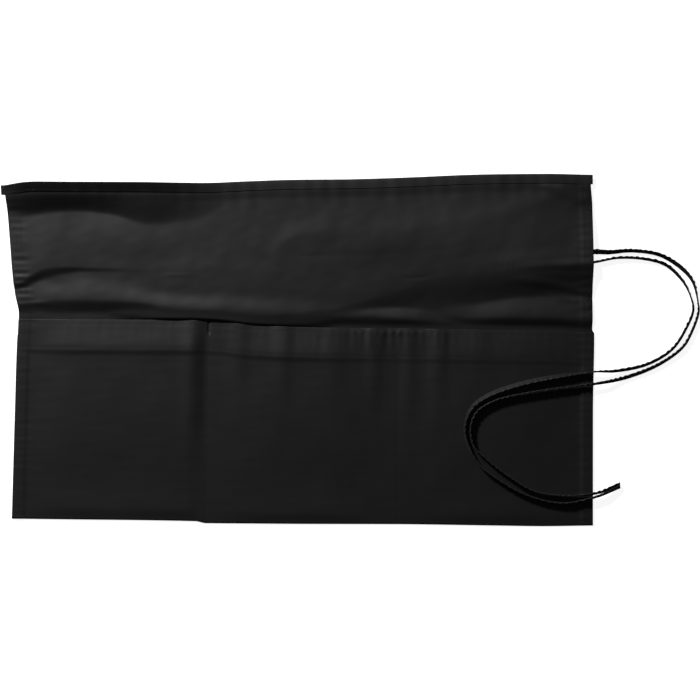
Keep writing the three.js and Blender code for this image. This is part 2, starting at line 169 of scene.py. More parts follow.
# The outline: how far each side is in, in shares of WIDTH, at heights in shares of DEPTH
SIDES = table(
    "up left right",
    (0, 0, 0.0022),
    (0.32, 0.0055, 0.0021),
    (0.537, 0.0098, 0),
    (0.549, 0.0107, 0),
    (0.556, 0.0109, 0.0031),
    (0.605, 0.012, 0.0031),
    (0.665, 0.0055, 0.0031),
    (0.73, 0.0012, 0.0031),
    (0.824, -0.0034, 0.0031),
    (0.909, -0.0076, 0.0035),
    (0.965, -0.0103, 0.0062),
)
# The bottom fold's rise and the top edge's drop in shares of DEPTH, and the mouths' height in POCKET_DEPTH
LINES = table(
    "across bottom mouth top",
    (0, 0.0213, 1.02, 0.0344),
    (0.057, 0.0201, 1.021, 0.0262),
    (0.316, 0.0142, 1.028, 0.0266),
    (0.334, 0.0085, 1.035, 0.0264),
    (0.414, 0.0075, 1.014, 0.0208),
    (0.495, 0.0065, 1.006, 0.0164),
    (0.581, 0.0061, 1.002, 0.0151),
    (0.663, 0.0057, 1, 0.0113),
    (0.825, 0.002, 1, 0.0014),
    (0.916, 0, 1, 0),
    (1, 0.002, 0.985, 0.0028),
)

# The cloth above the pockets: each fold's crest, up in shares from the mouths to the waistband and high in
# shares of FOLD_HEIGHT, and how far its two slopes reach above and below the crest
FOLD_COLUMNS = "across up high above below"
FOLDS = {
    "rise": table(
        FOLD_COLUMNS,
        (-0.02, 0.16, 0.08, 0.84, 0.12),
        (0.1, 0.15, 0.12, 0.84, 0.12),
        (0.2, 0.14, 0.28, 0.84, 0.12),
        (0.28, 0.085, 0.36, 0.9, 0.075),
        (0.42, 0.085, 0.38, 0.9, 0.08),
        (0.54, 0.14, 0.38, 0.85, 0.12),
        (0.65, 0.26, 0.38, 0.74, 0.16),
        (0.76, 0.38, 0.4, 0.62, 0.2),
        (1.02, 0.46, 0.42, 0.54, 0.2),
    ),
    "left_corner": table(
        FOLD_COLUMNS,
        (-0.015, 1, 0.4, 0.3, 0.18),
        (0.012, 1, 0.9, 0.3, 0.2),
        (0.04, 1, 1.32, 0.3, 0.22),
        (0.08, 1, 1.2, 0.3, 0.19),
        (0.13, 1, 1, 0.3, 0.17),
        (0.18, 1, 0.95, 0.3, 0.2),
        (0.24, 1, 0.85, 0.3, 0.3),
        (0.3, 1, 0.4, 0.3, 0.28),
        (0.37, 1, 0, 0.3, 0.2),
    ),
    "left_swell": table(
        FOLD_COLUMNS,
        (-0.04, 0.56, 0.06, 0.3, 0.35),
        (0.06, 0.57, 0.08, 0.34, 0.35),
        (0.14, 0.6, 0.2, 0.36, 0.35),
        (0.2, 0.58, 0.2, 0.36, 0.35),
        (0.3, 0.55, 0.1, 0.36, 0.35),
        (0.4, 0.55, 0, 0.36, 0.35),
    ),
    "middle_swell": table(
        FOLD_COLUMNS,
        (0.28, 0.58, 0, 0.38, 0.5),
        (0.38, 0.6, 0.05, 0.38, 0.5),
        (0.48, 0.62, 0.12, 0.37, 0.48),
        (0.58, 0.61, 0.26, 0.38, 0.36),
        (0.66, 0.6, 0.37, 0.38, 0.32),
        (0.76, 0.6, 0.37, 0.4, 0.3),
        (0.88, 0.6, 0.22, 0.4, 0.3),
        (1.02, 0.6, 0.15, 0.4, 0.3),
    ),
    "left_shoulder": table(
        FOLD_COLUMNS,
        (-0.02, 0.27, 0.26, 0.85, 0.06),
        (0.015, 0.3, 0.36, 0.85, 0.07),
        (0.035, 0.36, 0.45, 0.85, 0.1),
        (0.06, 0.405, 0.49, 0.85, 0.11),
        (0.09, 0.415, 0.43, 0.8, 0.08),
        (0.12, 0.41, 0.32, 0.7, 0.05),
        (0.16, 0.405, 0.24, 0.6, 0.05),
        (0.25, 0.4, 0.1, 0.5, 0.08),
        (0.3, 0.4, 0, 0.4, 0.1),
    ),
    "left_roll": table(
        FOLD_COLUMNS,
        (-0.01, 0.12, 0.18, 0.2, 0.08),
        (0.03, 0.145, 0.26, 0.26, 0.09),
        (0.06, 0.155, 0.36, 0.28, 0.11),
        (0.12, 0.155, 0.46, 0.28, 0.11),
        (0.2, 0.145, 0.5, 0.23, 0.1),
        (0.26, 0.115, 0.34, 0.19, 0.08),
        (0.33, 0.1, 0.12, 0.2, 0.08),
        (0.37, 0.09, 0, 0.2, 0.08),
    ),
    "middle_roll": table(
        FOLD_COLUMNS,
        (0.14, 0.12, 0, 0.2, 0.09),
        (0.2, 0.1, 0.3, 0.2, 0.2),
        (0.27, 0.085, 0.54, 0.2, 0.35),
        (0.32, 0.075, 0.56, 0.2, 0.35),
        (0.36, 0.09, 0.54, 0.2, 0.35),
        (0.42, 0.095, 0.52, 0.2, 0.3),
        (0.5, 0.085, 0.44, 0.2, 0.18),
        (0.56, 0.085, 0.36, 0.15, 0.08),
        (0.61, 0.086, 0.37, 0.12, 0.08),
        (0.65, 0.075, 0.38, 0.11, 0.07),
        (0.69, 0.065, 0.28, 0.1, 0.065),
        (0.73, 0.05, 0.1, 0.1, 0.05),
        (0.78, 0.05, 0, 0.12, 0.05),
    ),
    "right_ridge": table(
        FOLD_COLUMNS,
        (0.5, 0.33, 0, 0.3, 0.3),
        (0.6, 0.345, 0.12, 0.4, 0.3),
        (0.68, 0.365, 0.24, 0.45, 0.29),
        (0.76, 0.39, 0.42, 0.5, 0.29),
        (0.83, 0.41, 0.58, 0.52, 0.28),
        (0.9, 0.44, 0.82, 0.54, 0.26),
        (1.02, 0.48, 0.9, 0.52, 0.28),
    ),
    "right_roll": table(
        FOLD_COLUMNS,
        (0.72, 0.12, 0, 0.12, 0.08),
        (0.8, 0.08, 0.26, 0.15, 0.055),
        (0.87, 0.09, 0.5, 0.19, 0.072),
        (0.94, 0.088, 0.5, 0.19, 0.072),
        (0.985, 0.085, 0.4, 0.18, 0.068),
        (1.01, 0.11, 0.34, 0.13, 0.08),
    ),
}
# Small creases and ridges on the folds, and a tuck where high is below zero
CREASES = {
    "under_right_ridge": table(
        FOLD_COLUMNS,
        (0.86, 0.425, 0, 0.05, 0.03),
        (0.93, 0.44, 0.1, 0.05, 0.04),
        (0.97, 0.45, 0.17, 0.06, 0.045),
        (1.01, 0.46, 0.17, 0.06, 0.045),
    ),
    "right_upper": table(
        FOLD_COLUMNS,
        (0.85, 0.345, 0, 0.04, 0.035),
        (0.9, 0.33, 0.1, 0.05, 0.05),
        (0.95, 0.3, 0.15, 0.05, 0.055),
        (0.985, 0.28, 0.1, 0.05, 0.05),
        (1.01, 0.27, 0.04, 0.05, 0.05),
    ),
    "right_lower": table(
        FOLD_COLUMNS,
        (0.92, 0.24, 0, 0.04, 0.04),
        (0.955, 0.225, 0.1, 0.05, 0.05),
        (0.985, 0.2, 0.13, 0.05, 0.05),
        (1.01, 0.19, 0.06, 0.05, 0.05),
    ),
    "ridge_tuck": table(
        FOLD_COLUMNS,
        (0.665, 0.365, 0, 0.02, 0.015),
        (0.685, 0.356, -0.022, 0.02, 0.018),
        (0.705, 0.36, -0.026, 0.02, 0.02),
        (0.72, 0.368, 0, 0.02, 0.015),
    ),
    "right_corner": table(
        FOLD_COLUMNS,
        (0.89, 1, 0, 0.04, 0.05),
        (0.93, 0.98, 0.1, 0.06, 0.07),
        (0.955, 0.95, 0.15, 0.07, 0.08),
        (0.98, 0.9, 0.13, 0.07, 0.08),
        (1.01, 0.86, 0.05, 0.06, 0.06),
    ),
    "left_line": table(
        FOLD_COLUMNS,
        (0.245, 0.345, 0, 0.03, 0.02),
        (0.285, 0.35, 0.015, 0.03, 0.02),
        (0.325, 0.355, 0, 0.03, 0.02),
    ),
    "left_tick": table(
        FOLD_COLUMNS,
        (0.02, 0.13, 0, 0.03, 0.03),
        (0.04, 0.125, 0.05, 0.03, 0.03),
        (0.065, 0.125, 0, 0.03, 0.03),
    ),
}
# The power that the folds are merged by: a higher one leaves a sharper line where two meet
MERGE = 3
# Soft wide swells on the folds: their middle, reach and height
SWELLS = table(
    "across up wide tall high",
    (0.075, 0.64, 0.03, 0.13, 0.03),
    (0.205, 0.68, 0.052, 0.2, 0.09),
    (0.42, 0.62, 0.13, 0.3, 0.06),
    (0.55, 0.84, 0.018, 0.16, 0.03),
    (0.85, 0.72, 0.11, 0.34, 0.3),
)
# How far the side hems' stitches pucker the cloth, at heights in shares of DEPTH
PULLS = table(
    "up left right",
    (0, 0.12, 0.14),
    (0.5, 0.16, 0.2),
    (0.57, 0.2, 0.34),
    (0.62, 0.22, 0.45),
    (0.685, 0.36, 0.45),
    (0.72, 0.4, 0.4),
    (0.77, 0.24, 0.26),
    (0.82, 0.18, 0.16),
    (1, 0.12, 0.14),
)

# The pockets' seams, and how far each one's hold reaches to its left and right in shares of WIDTH
SEAMS = table(
    "across left_run right_run",
    (0.0155, 0.05, 0.09),
    (0.332, 0.034, 0.13),
    (0.663, 0.13, 0.13),
    (0.9845, 0.12, 0.05),
)
# How far the pockets' front stands off, up from the bottom fold, in shares of POCKET_ROOM
SLACK = table(
    "up room",
    (0, 0),
    (0.06, 0.36),
    (0.165, 0.24),
    (0.4, 0.62),
    (0.6, 0.84),
    (0.72, 0.86),
    (0.785, 0.88),
    (0.812, 0.92),
    (0.855, 0.92),
    (1, 0.2),
)
# A pressed line across the front below the mouths: how strong it is, and where and how wide
PRESS = table("across share", (0, 1), (0.5, 1), (0.6, 0.45), (0.75, 0.2), (1, 0.1))
PRESS_UP = 0.848
PRESS_HIGH = 0.2
PRESS_ABOVE = 0.1
PRESS_BELOW = 0.034
# Upright ripples in the front: place, reach to each side, height, and how far up each one starts
RIPPLES = table(
    "across left right high reach",
    (0.308, 0.032, 0.024, 0.5, 0.1),
    (0.385, 0.028, 0.026, 0.42, 0.45),
    (0.462, 0.026, 0.024, 0.42, 0.45),
    (0.55, 0.03, 0.03, 0.26, 0.5),
    (0.622, 0.026, 0.022, 0.5, 0.4),
    (0.68, 0.022, 0.02, 0.34, 0.2),
    (0.731, 0.024, 0.022, 0.46, 0.35),
    (0.8, 0.03, 0.03, 0.2, 0.6),
)
# How much of the folds' height is already there at the mouths
MOUTH_HOLD = table(
    "across share",
    (0, 0.1),
    (0.16, 0.25),
    (0.24, 0.72),
    (0.42, 0.74),
    (0.52, 0.45),
    (0.57, 0.1),
    (1, 0.1),
)
# How far the waistband leans up towards its top edge, in shares of its height
BAND_LEAN = table(
    "across lean",
    (0, 0.25),
    (0.03, 0.6),
    (0.2, 0.6),
    (0.3, 0.35),
    (0.38, 0.1),
    (0.6, 0),
    (1, 0),
)

# Slight unevenness of the cloth above the pockets and of their front: each wave's length, height and seed
CLOTH_WAVES = ((38, 0.11, 31), (13, 0.025, 32))
FRONT_WAVES = ((46, 0.07, 51), (15, 0.03, 52))
FRONT_HOLD = 12  # how far from the bottom fold and the mouths the front is held even
SIDE_HOLD = 20  # and how far from the sides
RIPPLE_HOLD = 0.4  # how far a seam flattens the ripples at its left, in shares of its hold

# Puckers in the side hems, and gathers below the waistband
PUCKER_SPACING = 9
PUCKER_RISE = 4
PUCKER_FALL = 16
BAND_GATHER = 0.15
BAND_GATHER_SPACING = 15
BAND_GATHER_RISE = 6
BAND_GATHER_FALL = 26

# Gathers in the mouths' hem, most at the second divider's upper end, and the notch at the first one's
GATHER_MIDDLE = 0.66
GATHER_REACH = 0.1
GATHER_ELSEWHERE = 0.2
GATHER = 0.17
GATHER_SPACING = 10
GATHER_RISE = 5
GATHER_LEVEL = 9
GATHER_FALL = 22
SMALL_GATHER = 0.2
SMALL_GATHER_SPACING = 6
SMALL_GATHER_REACH = 2.6
NOTCH = 1.5
NOTCH_DEEP = 12
NOTCH_REACH = 0.9
NOTCH_END = 3

# The uneven waves: how many are added, how tall they are together, how their lengths vary, and their seeds
WOBBLES = 5
WOBBLE_TALL = 2.3
RUMPLES = 9
RUMPLE_TALL = 3
STRETCH = (0.7, 1.5)
SEEDS = {"left_hem": 11, "right_hem": 12, "band": 21, "gathers": 41, "small_gathers": 42}

# The ties' routes from the waistband's ends: x, y and the tape's lean in degrees, 0 flat and 90 on its edge
LEFT_TIE = [
    (-303, 169, 0),
    (-296, 153, 0),
    (-288, 132, 0),
    (-277, 111, 0),
    (-260, 92, 0),
    (-234, 81, 0),
    (-187, 77, 0),
    (-114, 76, 0),
    (-40, 74, 0),
    (33, 71, 0),
    (75, 71, 0),
    (127, 75, 0),
    (190, 81, 15),
    (253, 86, 60),
    (285, 89.5, 85),
    (309.5, 92, 78),
    (333.5, 96.5, 76),
    (362, 95.5, 74),
    (384, 89.5, 70),
    (400.5, 74.5, 80),
    (410, 57, 102),
    (413, 41.5, 116),
    (406, 23.5, 118),
    (391, 1, 118),
    (365.5, -14.5, 118),
    (334.5, -21.5, 116),
    (310.5, -22.5, 96),
    (267, -28, 50),
    (231, -35.5, 46),
    (197.5, -47.5, 52),
    (180.5, -60.5, 66),
    (173.5, -80.5, 82),
    (176.5, -97, 90),
    (189, -119.5, 90),
    (208.5, -135, 90),
    (239, -151.5, 90),
    (274, -159.5, 90),
    (309.5, -153.5, 68),
    (336.5, -142.8, 54),
]
RIGHT_TIE = [
    (303.5, 177, 0),
    (291, 166, 0),
    (274, 154, 0),
    (243, 140, 0),
    (201, 128, 0),
    (148, 120, 0),
    (80, 114, 0),
    (14, 112, 0),
    (-6, 107, 0),
    (-12, 98.5, 0),
    (-4, 89, 0),
    (18, 85, 0),
    (106, 88, 0),
    (200, 95, 0),
    (279, 101, 5),
    (309, 103, 35),
    (326, 102.5, 50),
    (349, 104, 62),
    (377, 100, 64),
    (397, 89, 60),
    (412, 73, 78),
    (418, 50, 104),
    (418.5, 39, 116),
    (411, 18, 118),
    (402, 3, 118),
    (377, -15, 122),
    (343, -28.5, 126),
    (311, -35, 110),
    (281, -38.5, 92),
    (239, -44.5, 90),
    (204, -53, 90),
    (185.5, -65, 90),
    (179.5, -81.5, 90),
    (183, -100, 90),
    (195, -112.5, 90),
    (218, -130.5, 90),
    (246, -147, 90),
    (274, -151.5, 90),
    (310, -149.5, 66),
    (336.5, -140.2, 50),
]


def soft(share):
    """A share held between 0 and 1, with a soft start and end."""
    share = np.clip(share, 0, 1)
    return share * share * (3 - 2 * share)


def mix(a, b, share):
    return a + (b - a) * share


def read(rows, by, column, at):
    """A column's value at places, on a smooth line through the rows that never overshoots them."""
    x, y = rows[by], rows[column]
    at = np.clip(at, x[0], x[-1])
    slope = np.diff(y) / np.diff(x)
    product = slope[:-1] * slope[1:]
    same_way = product > 0
    inner = np.where(same_way, 2 * product / np.where(same_way, slope[:-1] + slope[1:], 1), 0)
    lean = np.concatenate([slope[:1], inner, slope[-1:]])
    i = np.clip(np.searchsorted(x, at, side="right") - 1, 0, len(x) - 2)
    run = x[i + 1] - x[i]
    t = (at - x[i]) / run
    start = (lean[i] - slope[i]) * run
    end = (lean[i + 1] - slope[i]) * run
    return mix(y[i], y[i + 1], t) + t * (1 - t) * ((1 - t) * start - t * end)


# The outline's lines


def bottom_y(across):
    return (read(LINES, "across", "bottom", across) - 0.5) * DEPTH


def mouth_y(across):
    return bottom_y(across) + read(LINES, "across", "mouth", across) * POCKET_DEPTH


def top_y(across):
    return (0.5 - read(LINES, "across", "top", across)) * DEPTH


def band_y(across):
    return top_y(across) - BAND_HEIGHT


def sides(y):
    """The x of the left and the right side."""
    up = y / DEPTH + 0.5
    left = BAND_END / 2 - WIDTH / 2 + read(SIDES, "up", "left", up) * WIDTH
    right = BAND_END / 2 + WIDTH / 2 - read(SIDES, "up", "right", up) * WIDTH
    return left, right


def across_at(x, y):
    """The share of the way from the left side to the right that a place is at."""
    left, right = sides(y)
    return (x - left) / (right - left)


def x_at(across, y):
    left, right = sides(y)
    return mix(left, right, across)


def from_side(across):
    """The distance from the nearer side."""
    return np.minimum(across, 1 - across) * WIDTH


def side_wall(across):
    """The cloth's thickness, more in the hems at the sides."""
    return mix(HEM, CLOTH, soft((from_side(across) - SIDE_HEM) / HEM_STEP))


# Where the ties run


def spline(points, per_span):
    """Points on the centripetal curve through a route's points."""
    p = np.array(points, float)
    p = np.vstack([2 * p[0] - p[1], p, 2 * p[-1] - p[-2]])
    step = np.sqrt(np.linalg.norm(np.diff(p, axis=0), axis=1))
    t = np.linspace(0, 1, per_span, endpoint=False)[:, None]
    spans = []
    for i in range(1, len(p) - 2):
        a, b, c = step[i - 1], step[i], step[i + 1]
        start = (p[i] - p[i - 1]) / a - (p[i + 1] - p[i - 1]) / (a + b) + (p[i + 1] - p[i]) / b
        end = (p[i + 1] - p[i]) / b - (p[i + 2] - p[i]) / (b + c) + (p[i + 2] - p[i + 1]) / c
        start, end = start * b, end * b
        square = -3 * p[i] + 3 * p[i + 1] - 2 * start - end
        cube = 2 * p[i] - 2 * p[i + 1] + start + end
        spans.append(p[i] + start * t + square * t**2 + cube * t**3)
    return np.vstack(spans + [p[-2:-1]])


def tie_height(roll):
    """How high a leaning tape stands."""
    return TIE_WIDTH * np.sin(roll) + TIE_WALL * np.abs(np.cos(roll))


def tie_reach(roll):
    """How far a leaning tape reaches to each side of its middle."""
    return (TIE_WIDTH * np.abs(np.cos(roll)) + TIE_WALL * np.sin(roll)) / 2


def hidden_ties():
    """The hidden places of both ties, as x, y, the height to clear and the reach to keep level."""
    places = []
    for route in (LEFT_TIE, RIGHT_TIE):
        x, y, roll = spline(route, HIDDEN_POINTS).T
        roll = np.radians(np.clip(roll, 0, MOST_ROLL))
        hidden = (y > mouth_y(across_at(x, y))) & (x < WIDTH / 2 + TIE_SLOPE)
        high = tie_height(roll) + TIE_ROOM
        places.append(np.column_stack([x, y, high, tie_reach(roll) + TIE_SHELF])[hidden])
    return np.vstack(places)


HIDDEN = hidden_ties()


def tie_lift(x, y):
    """How high the hidden ties lift the cloth over them."""
    lift = np.zeros(np.shape(x))
    for px, py, high, reach in HIDDEN:
        past = np.hypot(x - px, y - py) - reach
        lift = np.maximum(lift, high * (1 - soft(past / TIE_SLOPE)))
    return lift


# Uneven waves


def wobble(along, period, seed):
    """An uneven wave of about unit height along one direction."""
    draw = np.random.default_rng(seed)
    total = np.zeros(np.shape(along))
    for stretch, start in draw.uniform((STRETCH[0], 0), (STRETCH[1], 2 * math.pi), (WOBBLES, 2)):
        total += np.sin(2 * math.pi * along / (period * stretch) + start)
    return total / WOBBLE_TALL


def rumple(x, y, length, seed):
    """Uneven waves of about unit height in all directions."""
    draw = np.random.default_rng(seed)
    total = np.zeros(np.shape(x))
    low, high = (STRETCH[0], 0, 0), (STRETCH[1], math.pi, 2 * math.pi)
    for stretch, turn, start in draw.uniform(low, high, (RUMPLES, 3)):
        along = x * math.cos(turn) + y * math.sin(turn)
        total += np.sin(2 * math.pi * along / (length * stretch) + start)
    return total / RUMPLE_TALL


def uneven(x, y, waves):
    """Slight unevenness from several waves."""
    return sum(high * (1 + rumple(x, y, length, seed)) for length, high, seed in waves)


def groove(off, deep=GROOVE):
    """How far a row of stitches draws the cloth in, by the distance from the row."""
    return deep * np.exp(-((off / GROOVE_REACH) ** 2))


# The cloth's heights


def fold_height(rows, across, up):
    """One fold's height, which falls softly to both sides of its crest."""
    off = up - read(rows, "across", "up", across)
    above = read(rows, "across", "above", across)
    below = read(rows, "across", "below", across)
    high = read(rows, "across", "high", across) * FOLD_HEIGHT
    inside = (across >= rows["across"][0]) & (across <= rows["across"][-1])
    return inside * high * soft(1 - np.abs(off) / np.where(off > 0, above, below))


def swells(across, up):
    """The soft wide swells' height."""
    total = np.zeros(np.shape(across))
    for place, level, wide, tall, high in zip(*SWELLS.values()):
        total += high * np.exp(-(((across - place) / wide) ** 2) - ((up - level) / tall) ** 2)
    return FOLD_HEIGHT * total


def hem_puckers(across, y):
    """Small puckers that a side hem's stitches draw the cloth into."""
    up = y / DEPTH + 0.5
    side = np.where(across < 0.5, read(PULLS, "up", "left", up), read(PULLS, "up", "right", up))
    left_wave = wobble(y, PUCKER_SPACING, SEEDS["left_hem"])
    right_wave = wobble(y, PUCKER_SPACING, SEEDS["right_hem"])
    wave = np.where(across < 0.5, left_wave, right_wave)
    off = from_side(across)
    reach = soft(off / PUCKER_RISE) * (1 - soft((off - SIDE_HEM) / PUCKER_FALL))
    return side * reach * (1 + wave) / 2


def band_gathers(across, y):
    """Gathers that the waistband's stitches draw the cloth below it into."""
    below = band_y(across) - y
    wave = 1 + wobble(across * WIDTH, BAND_GATHER_SPACING, SEEDS["band"])
    fall = 1 - soft(below / BAND_GATHER_FALL)
    rise = soft((below + BAND_GATHER_RISE) / BAND_GATHER_RISE)
    return BAND_GATHER * wave * fall * rise


def cloth_under(across, y):
    """The height of the cloth's underside: flat behind the pockets, and folded above their mouths."""
    mouth = mouth_y(across)
    held = np.minimum(y, band_y(across))
    up = (held - mouth) / (band_y(across) - mouth)
    x = x_at(across, y)
    powers = tie_lift(x, held) ** MERGE
    for rows in FOLDS.values():
        powers = powers + fold_height(rows, across, up) ** MERGE
    high = powers ** (1 / MERGE) + swells(across, up)
    for rows in CREASES.values():
        high = high + fold_height(rows, across, up)
    high += uneven(x, held, CLOTH_WAVES)
    high += hem_puckers(across, held) + band_gathers(across, held)
    over_band = soft((y - band_y(across) + BAND_HEIGHT) / BAND_HEIGHT) * (BAND_WALL + GAP)
    near_mouth = soft((y - mouth) / MOUTH_ROLL + read(MOUTH_HOLD, "across", "share", across))
    lean = read(BAND_LEAN, "across", "lean", across) * np.maximum(y - band_y(across), 0)
    return np.where(y <= mouth, 0, over_band + high * near_mouth + lean)


def cloth_top(across, y):
    """The height of the cloth's upper face."""
    return cloth_under(across, y) + side_wall(across) - groove(from_side(across) - SIDE_ROW)


def pocket_room(across, up):
    """How far the pockets' front stands off the cloth behind it."""
    edge = SEAMS["across"]
    i = np.clip(np.searchsorted(edge, across, side="right"), 1, len(edge) - 1)
    from_left = (across - edge[i - 1]) / SEAMS["right_run"][i - 1]
    from_right = (edge[i] - across) / SEAMS["left_run"][i]
    room = read(SLACK, "up", "room", up)
    off = up - PRESS_UP
    pressed = soft(1 - np.abs(off) / np.where(off > 0, PRESS_ABOVE, PRESS_BELOW))
    room = room + PRESS_HIGH * pressed * read(PRESS, "across", "share", across)
    room = room * soft(from_left) * soft(from_right)
    for place, left, right, high, reach in zip(*RIPPLES.values()):
        off = across - place
        rise = soft(1 - np.abs(off) / np.where(off < 0, left, right))
        room = room + high * rise * soft((up - reach) / (1 - reach)) * soft(from_right / RIPPLE_HOLD)
    return POCKET_ROOM * room


def mouth_gathers(across, y):
    """Gathers that the second divider's upper end draws the mouths' hem into."""
    x = across * WIDTH
    down = mouth_y(across) - y
    reach = np.exp(-(((across - GATHER_MIDDLE) / GATHER_REACH) ** 2)) + GATHER_ELSEWHERE
    fall = 1 - soft((down - GATHER_LEVEL) / GATHER_FALL)
    long = soft(down / GATHER_RISE) * fall * (1 + wobble(x, GATHER_SPACING, SEEDS["gathers"]))
    near_row = np.exp(-(((down - MOUTH_ROWS[0]) / SMALL_GATHER_REACH) ** 2))
    short = near_row * (1 + wobble(x, SMALL_GATHER_SPACING, SEEDS["small_gathers"]))
    return reach * (GATHER * long + SMALL_GATHER * short)


def front_under(across, y):
    """The height of the underside of the pockets' front."""
    depth = mouth_y(across) - bottom_y(across)
    up = (y - bottom_y(across)) / depth
    seat = side_wall(across) + LAYER_GAP
    loose = soft(np.minimum(up, 1 - up) * depth / FRONT_HOLD) * soft(from_side(across) / SIDE_HOLD)
    loose = loose * uneven(x_at(across, y), y, FRONT_WAVES)
    return seat + pocket_room(across, up) + loose + hem_puckers(across, y) + mouth_gathers(across, y)


def front_wall(across, y):
    """The thickness of the pockets' front, more in its hems."""
    hemmed = mix(HEM, CLOTH, soft((mouth_y(across) - y - MOUTH_HEM) / HEM_STEP))
    return np.maximum(side_wall(across), hemmed)


def front_dips(across, y):
    """How far the stitches and the notch at the first divider draw the pockets' front in."""
    down = mouth_y(across) - y
    dips = groove(from_side(across) - SIDE_ROW)
    for row in MOUTH_ROWS:
        dips = np.maximum(dips, groove(down - row))
    for seam in SEAMS["across"][1:-1]:
        dips = np.maximum(dips, groove((across - seam) * WIDTH, SEAM_GROOVE))
    off = (across - SEAMS["across"][1]) * WIDTH
    notch = NOTCH * np.exp(-((off / NOTCH_REACH) ** 2)) * (1 - soft((down - NOTCH_DEEP) / NOTCH_END))
    return np.maximum(dips, notch)


def front_top(across, y):
    """The height of the pockets' front before its stitches draw it in."""
    return front_under(across, y) + front_wall(across, y)


def sewn_front(across, y):
    """The height of the pockets' front with its stitches drawn in."""
    return front_top(across, y) - front_dips(across, y)


def ground(x, y):
    """The height that a tie lies on: the pockets' front, and past the right side down to the floor."""
    inside = across_at(x, y)
    across = np.clip(inside, 0, 1)
    past = x - sides(y)[1]
    high = (front_top(across, y) + TIE_FLOAT) * (1 - soft((past - EDGE_SHELF) / EDGE_SLOPE))
    return np.where(y > mouth_y(across), 0, high)


# Meshes


def spread(fixed, step):
    """Stations through the fixed ones, no further apart than a step."""
    stations = [fixed[0]]
    for a, b in zip(fixed, fixed[1:]):
        count = max(1, math.ceil((b - a) / step - TINY))
        stations += [mix(a, b, k / count) for k in range(1, count + 1)]
    return np.array(stations)


def rounded(distance, wall):
    """How much of a wall's thickness is left near its rounded edge."""
    share = np.clip(1 - distance / (wall * EDGE_ROUND), 0, 1)
    return np.maximum(np.sqrt(1 - share**2), EDGE_LEAST)


def lengths(line):
    """How far along a line each of its points is."""
    return np.concatenate([[0], np.cumsum(np.linalg.norm(np.diff(line, axis=0), axis=1))])


def points_at(line, length, places):
    """The points at places along a line."""
    return np.stack([np.interp(places, length, column) for column in line.T], axis=1)


def circle(sides):
    """The directions of a regular outline's corners."""
    return np.radians(np.arange(sides) * 360 / sides)


def add_mesh(name, points, faces, material, slot):
    """A named piece from points in millimetres."""
    mesh = bpy.data.meshes.new(name)
    mesh.from_pydata((np.asarray(points) * MM).tolist(), [], [list(map(int, face)) for face in faces])
    mesh.materials.append(material)
    mesh.shade_smooth()
    mesh.update()
    piece = bpy.data.objects.new(name, mesh)
    bpy.context.scene.collection.objects.link(piece)
    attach(piece, "root")
    return piece


def closed_sheet(face, under):
    """Points and faces of a closed sheet between two grids, rows from front to back."""
    rows, width = face.shape[:2]
    points = np.vstack([face.reshape(-1, 3), under.reshape(-1, 3)])
    at = np.arange(rows * width).reshape(rows, width)
    other = at + rows * width

    def quads(a, b, c, d):
        return np.stack([a.ravel(), b.ravel(), c.ravel(), d.ravel()], axis=1)

    faces = [
        quads(at[:-1, :-1], at[:-1, 1:], at[1:, 1:], at[1:, :-1]),
        quads(other[:-1, :-1], other[1:, :-1], other[1:, 1:], other[:-1, 1:]),
        quads(at[:-1, 0], at[1:, 0], other[1:, 0], other[:-1, 0]),
        quads(at[:-1, -1], other[:-1, -1], other[1:, -1], at[1:, -1]),
        quads(at[0, :-1], other[0, :-1], other[0, 1:], at[0, 1:]),
        quads(at[-1, :-1], at[-1, 1:], other[-1, 1:], other[-1, :-1]),
    ]
    return points, np.vstack(faces)


def loft(rings):
    """Points and faces of a body through rings of points, with both ends closed."""
    count, around = rings.shape[:2]
    at = np.arange(count * around).reshape(count, around)
    ahead = np.roll(at, -1, axis=1)
    quads = np.stack([at[:-1], ahead[:-1], ahead[1:], at[1:]], axis=2).reshape(-1, 4)
    return rings.reshape(-1, 3), quads.tolist() + [at[0][::-1].tolist(), at[-1].tolist()]


def columns():
    """The places across the apron that every row of the cloth has a point at, closer at hems and seams."""
    edge = [s / WIDTH for s in EDGE_STEPS]
    row = [(SIDE_ROW + s) / WIDTH for s in ROW_STEPS]
    hem = [(SIDE_HEM + HEM_STEP * s) / WIDTH for s in HEM_SHARES]
    seams = []
    for seam in SEAMS["across"][1:-1]:
        seams += [seam + s / WIDTH for s in SEAM_STEPS]
    inner = edge + row + hem
    return spread(inner + seams + [1 - s for s in reversed(inner)], COLUMN_STEP / WIDTH)


COLUMNS = columns()


def bib_rows():
    """Each row's y at every column, from behind the pockets up into the waistband."""
    bottom = bottom_y(COLUMNS) + BOTTOM_FOLD + GAP
    mouth = mouth_y(COLUMNS)
    low = band_y(COLUMNS)
    top = top_y(COLUMNS) - BAND_WALL - GAP
    back = spread([0, 1], BACK_STEP)[:-1]
    bib = spread([0, 1], BIB_STEP / (DEPTH - POCKET_DEPTH - BAND_HEIGHT))
    rows = [mix(bottom, mouth, share) for share in back]
    rows += [mix(mouth, low, share) for share in bib]
    rows += [mix(low, top, share) for share in BAND_SHARES]
    rows += [top - edge for edge in TOP_STEPS]
    return np.array(rows)


def body_cloth(material):
    """The back of the pockets and the cloth above them, one piece up into the waistband."""
    y = bib_rows()
    across = np.broadcast_to(COLUMNS, y.shape)
    x = x_at(across, y)
    under = cloth_under(across, y)
    wall = cloth_top(across, y) - under
    keep = rounded(from_side(across), wall)
    middle = under + wall / 2
    face = np.stack([x, y, middle + wall / 2 * keep], axis=2)
    back = np.stack([x, y, middle - wall / 2 * keep], axis=2)
    piece = add_mesh("body_cloth", *closed_sheet(face, back), material, "cloth")
    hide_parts("body_panel")


